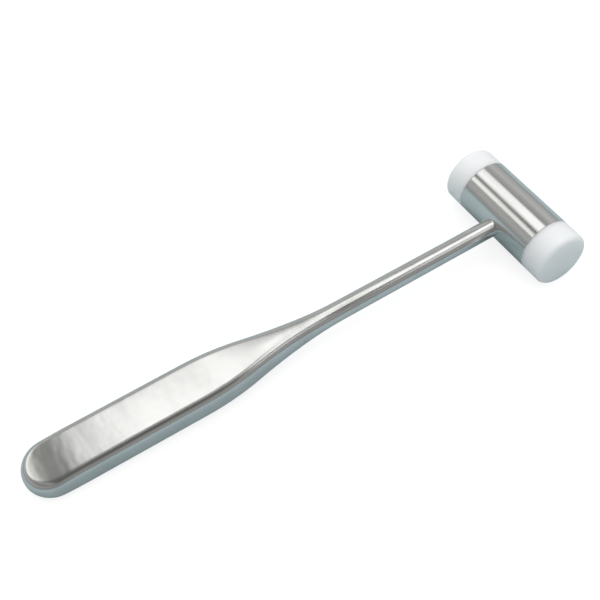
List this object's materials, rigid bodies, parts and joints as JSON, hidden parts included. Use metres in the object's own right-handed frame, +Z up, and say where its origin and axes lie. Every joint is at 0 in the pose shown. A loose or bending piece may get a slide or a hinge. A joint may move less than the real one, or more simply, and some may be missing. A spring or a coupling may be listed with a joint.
{
  "type": "surgical mallet",
  "caption": "Slim all-metal surgical mallet with a flat paddle handle, a round neck and a small cylindrical head carrying white nylon striking caps.",
  "frame": {"origin": "on the table below the middle of the mallet's length, midway between its two striking faces", "axes": "+X from the paddle to the head, +Y along the head's axis to the left cap, +Z up; the mallet lies on its head and on the underside of the paddle's butt"},
  "size_m": [0.1916, 0.0516, 0.02],
  "materials": {
    "satin_steel": "satin, polished along the handle",
    "turned_steel": "fine lengthwise satin on the head",
    "nylon": "milky white, soft semi-gloss"
  },
  "bodies": {
    "root": {"handle": "satin_steel", "head": "turned_steel", "cap_left": "nylon", "cap_right": "nylon"}
  },
  "joints": []
}
